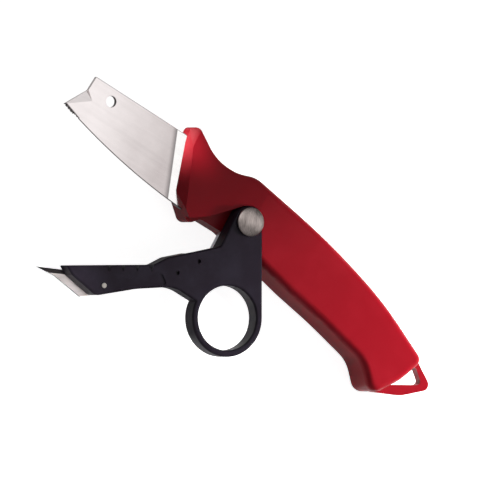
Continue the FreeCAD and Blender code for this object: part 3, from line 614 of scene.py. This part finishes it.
# Return spring: one bright strip bent to a U, held in the handle and hooked round a pin in the
# lever. Its faces are rolled along the strip.
SPRING_STEEL = (0.93, 0.95, 0.98, 1.0)
SPRING_BLUED = (0.74, 0.78, 0.85, 1.0)
SPRING_ROUGHNESS = 0.28
SPRING_ROUGHNESS_SPAN = (0.2, 0.36)
ROLLED_PER_METRE = 1200.0
ROLLED_STRETCH = 25.0
LEAF_THICKNESS = 0.0006
LEAF_STEPS = 18
BEND_STEPS = 12


# The U-shaped middle line of the strip
def strip_line(low, high):
    centre = (low.x + high.x) / 2.0
    middle = (high.x - low.x - LEAF_THICKNESS) / 2.0
    bend = low.y + middle + LEAF_THICKNESS / 2.0
    height = (low.z + high.z) / 2.0
    leg = [high.y + (bend - high.y) * step / LEAF_STEPS for step in range(LEAF_STEPS)]
    line = [(centre - middle, y, height) for y in leg]
    for step in range(BEND_STEPS + 1):
        angle = math.pi + math.pi * step / BEND_STEPS
        line.append((centre + middle * math.cos(angle), bend + middle * math.sin(angle), height))
    return line + [(centre + middle, y, height) for y in reversed(leg)]


# A flat strip swept along a line that lies level
def swept_strip(network, given):
    path = network.node("GeometryNodeMeshToCurve", {}, {0: given["Mesh"]})
    level = network.node("GeometryNodeSetCurveNormal", {"mode": "Z_UP"}, {"Curve": path})
    sides = {"Width": given["Thickness"], "Height": given["Width"]}
    section = network.node("GeometryNodeCurvePrimitiveQuadrilateral", {}, sides)
    values = {"Curve": level, "Profile Curve": section, "Fill Caps": True}
    return network.node("GeometryNodeCurveToMesh", {}, values)


strip = Finish("rolled spring strip", "spring_steel", SPRING_STEEL, SPRING_ROUGHNESS, metallic=1.0)
rolled_way = strip.stretched((1.0, ROLLED_STRETCH, 1.0))
rolled = strip.noise(ROLLED_PER_METRE, detail=3.0, vector=rolled_way)
strip.set("Base Color", strip.mix(rolled, SPRING_STEEL, SPRING_BLUED))
strip.roughen(rolled, SPRING_ROUGHNESS_SPAN)
spring_low, spring_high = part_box("return_spring")
line = strip_line(spring_low, spring_high)
line_mesh = bpy.data.meshes.new("return_spring_strip")
line_mesh.from_pydata(line, [(index, index + 1) for index in range(len(line) - 1)], [])
strip_inputs = {"Thickness": ("Float", LEAF_THICKNESS), "Width": ("Float", spring_high.z - spring_low.z)}
spring_mesh = shaped("return_spring_strip", line_mesh, strip_inputs, swept_strip, strip)
smooth_between_creases(spring_mesh)
spring = put_in_scene("return_spring_strip", spring_mesh)
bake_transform(spring)
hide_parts("return_spring")

# Floor: a plain white sheet just under the knife, which keeps its shadow. To the camera and in
# gloss it shines a little by itself, so it looks white with no more light on the knife.
FLOOR_SIZE = 3.0
FLOOR_LEVEL = -0.0002
FLOOR_WHITE = (0.93, 0.93, 0.93, 1.0)
FLOOR_GREY = (0.9, 0.9, 0.9, 1.0)
FLOOR_ROUGHNESS = 0.9
FLOOR_MOTTLE_PER_METRE = 30.0
FLOOR_GLOW = 0.88
FLOOR_IN_GLOSS = 0.2
WHITE = (1.0, 1.0, 1.0, 1.0)


# One on rays of the given kind, and otherwise nought
def on_rays(network, kind):
    return network.node("ShaderNodeLightPath", {}, {}, "Is " + kind + " Ray")


# One where the camera looks, also through glass
def in_view(network):
    return on_rays(network, "Camera").higher(on_rays(network, "Transmission"))


paper = Finish("white sheet", None, FLOOR_WHITE, FLOOR_ROUGHNESS)
paper.set("Base Color", paper.mix(paper.noise(FLOOR_MOTTLE_PER_METRE), FLOOR_WHITE, FLOOR_GREY))
paper.set("Emission Color", WHITE)
paper.set("Emission Strength", in_view(paper) * FLOOR_GLOW + on_rays(paper, "Glossy") * FLOOR_IN_GLOSS)
floor_mesh = bpy.data.meshes.new("floor")
corners = [(x * FLOOR_SIZE / 2.0, y * FLOOR_SIZE / 2.0, FLOOR_LEVEL) for x, y in SQUARE]
floor_mesh.from_pydata(corners, [], [(0, 1, 2, 3)])
floor_mesh.materials.append(paper.material)
floor = put_in_scene("floor", floor_mesh)

# Studio: a pale world in which polished steel also sees soft boxes, a low key light at the
# butt's side and a weak fill. Two small lamps pick out the head's peak and the end of the jaw,
# and a card keeps the key light off the head.
WORLD_LEVEL = 0.17
SKY_SPAN = (0.2, 0.9)
SKY_STRENGTHS = (0.04, 0.32)
# Each soft box: the way to it, the cosines of its edge and of its core, and its strength
SOFT_BOXES = [
    ((0.386, 0.223, 0.895), 0.965, 0.99, 0.78),
    ((0.132, 0.532, 0.839), 0.95, 0.985, 0.55),
    ((0.130, 0.075, 0.989), 0.965, 0.995, 0.5),
    ((-0.62, 0.20, 0.76), 0.88, 0.98, 0.9),
    ((0.80, 0.35, 0.48), 0.90, 0.98, 0.8),
]
KEY_PLACE = (0.34, 0.16, 0.20)
KEY_AIM = (0.09, -0.02, 0.0)
KEY_SIZE = 0.06
KEY_POWER = 0.35
KEY_SPREAD = math.radians(62.0)
FILL_PLACE = (0.65, -0.25, 0.8)
FILL_AIM = (0.0, 0.0, 0.0)
FILL_SIZE = 0.8
FILL_POWER = 0.8
SPOT_SIZE = 0.006
PEAK_PLACE = (-0.136, 0.053, 0.062)
PEAK_AIM = (-0.040, 0.017, 0.012)
PEAK_POWER = 0.0013
PEAK_SPREAD = math.radians(10.0)
JAW_PLACE = (-0.044, -0.0546, 0.131)
JAW_AIM = (-0.052, -0.058, 0.0113)
JAW_POWER = 0.0006
JAW_SPREAD = math.radians(15.0)
# Where the card's shadow ends on the handle, and the side of it that lies in the shadow
SHADE_EDGE = (-0.010, 0.0, 0.019)
SHADE_SIDE = (-1.0, 0.0, 0.0)
CARD_SHARE = 0.6
CARD_SIZE = 0.2

world = bpy.data.worlds.new("studio")
scene.world = world
world.use_nodes = True
sky = Network(world.node_tree)
backdrop = world.node_tree.nodes["Background"]
sky.feed(backdrop.inputs["Color"], WHITE)
direction = sky.node("ShaderNodeTexCoord", {}, {}, "Generated")
upward = sky.node("ShaderNodeSeparateXYZ", {}, {0: direction}, "Z")
studio_light = sky.mapped(upward, SKY_SPAN, SKY_STRENGTHS)
for towards, edge, core, power in SOFT_BOXES:
    soft_box = sky.mapped(dot(sky, direction, towards), (edge, core), (0.0, power), "SMOOTHSTEP")
    studio_light = studio_light + soft_box
in_gloss = on_rays(sky, "Glossy")
behind = in_view(sky)
around = in_gloss * studio_light + (1.0 - in_gloss) * WORLD_LEVEL
sky.feed(backdrop.inputs["Strength"], behind + (1.0 - behind) * around)


# A square lamp, out of sight of the camera, and seen in gloss only where it is asked for
def lamp(name, place, target, size, power, spread=math.pi, in_gloss=False):
    data = bpy.data.lights.new(name, "AREA")
    data.energy = power
    data.size = size
    data.spread = spread
    light = put_in_scene(name, data)
    light.location = place
    light.visible_glossy = in_gloss
    light.visible_camera = False
    light.rotation_euler = (Vector(target) - Vector(place)).to_track_quat("-Z", "Y").to_euler()


# A card that only throws a shadow. It stands part of the way from a lamp to the place where its
# shadow's edge falls, and reaches out to the given side from there
def card(source, edge_at, side, share, size):
    ray = (Vector(edge_at) - Vector(source)).normalized()
    middle = Vector(source).lerp(Vector(edge_at), share)
    outward = (Vector(side) - ray * ray.dot(Vector(side))).normalized()
    across = ray.cross(outward) * size / 2.0
    far = middle + outward * size
    mesh = bpy.data.meshes.new("card")
    mesh.from_pydata([middle - across, middle + across, far + across, far - across], [], [(0, 1, 2, 3)])
    mesh.materials.append(paper.material)
    sheet = put_in_scene("card", mesh)
    for kind in ("camera", "glossy", "diffuse", "transmission"):
        setattr(sheet, "visible_" + kind, False)


lamp("key", KEY_PLACE, KEY_AIM, KEY_SIZE, KEY_POWER, KEY_SPREAD)
lamp("fill", FILL_PLACE, FILL_AIM, FILL_SIZE, FILL_POWER)
lamp("peak", PEAK_PLACE, PEAK_AIM, SPOT_SIZE, PEAK_POWER, PEAK_SPREAD, in_gloss=True)
lamp("jaw", JAW_PLACE, JAW_AIM, SPOT_SIZE, JAW_POWER, JAW_SPREAD)
card(KEY_PLACE, SHADE_EDGE, SHADE_SIDE, CARD_SHARE, CARD_SIZE)

# Camera: square to the photograph's view, which looks at the front from the blade's side. The
# picture's up runs across the open knife.
PICTURE_WIDTH_PX = 481
METRES_PER_PX = 0.00038
CAMERA_DISTANCE = 5.0
SENSOR_WIDTH = 36.0
CLIP_START = 0.05
CLIP_END = 20.0
TOWARDS_CAMERA = Vector((-0.386, -0.223, 0.895)).normalized()
PICTURE_UP = Vector((-0.5, 0.866, 0.0))
AIM = Vector((-0.00035, -0.00832, 0.019))

camera_data = bpy.data.cameras.new("camera")
camera_data.sensor_width = SENSOR_WIDTH
camera_data.lens = SENSOR_WIDTH * CAMERA_DISTANCE / (PICTURE_WIDTH_PX * METRES_PER_PX)
camera_data.clip_start = CLIP_START
camera_data.clip_end = CLIP_END
camera = put_in_scene("camera", camera_data)
right = PICTURE_UP.cross(TOWARDS_CAMERA).normalized()
true_up = TOWARDS_CAMERA.cross(right).normalized()
turn = Matrix((right, true_up, TOWARDS_CAMERA)).transposed().to_4x4()
camera.matrix_world = Matrix.Translation(AIM + TOWARDS_CAMERA * CAMERA_DISTANCE) @ turn
scene.camera = camera
scene.view_settings.view_transform = "Standard"
